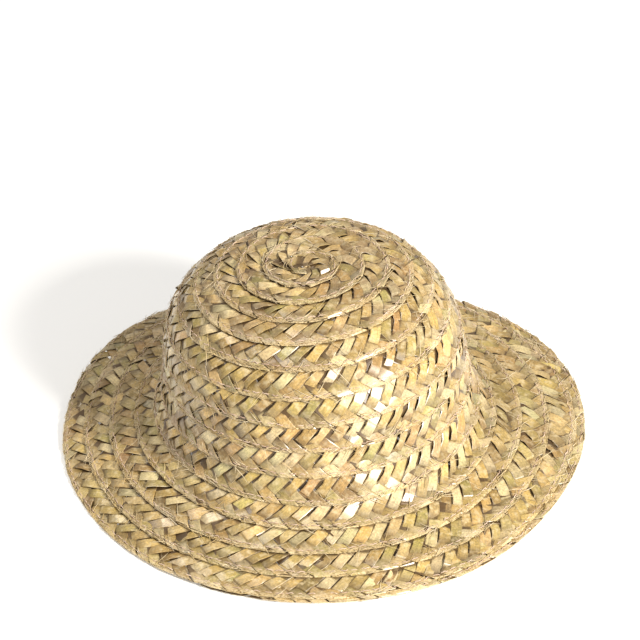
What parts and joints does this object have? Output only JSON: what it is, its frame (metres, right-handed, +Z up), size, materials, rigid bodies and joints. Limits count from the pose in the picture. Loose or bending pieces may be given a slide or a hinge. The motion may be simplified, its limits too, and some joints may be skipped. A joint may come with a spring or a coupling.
{
  "type": "straw hat",
  "caption": "Round straw sun hat: a domed crown and a gently waved brim, wound and sewn from one plaited straw braid.",
  "frame": {"origin": "middle of the box round the hat, on the surface it stands on", "axes": "+Z up, +Y towards the back of the hat, +X towards its left as it is worn, which is the right of the picture"},
  "size_m": [0.3034, 0.3022, 0.1162],
  "materials": {
    "crown_tip": "plaited straw, dry, soft sheen",
    "crown_side": "plaited straw, soft sheen",
    "brim": "plaited straw, soft sheen"
  },
  "bodies": {
    "root": {"crown_tip": "crown_tip", "crown_side": "crown_side", "brim": "brim"}
  },
  "joints": []
}
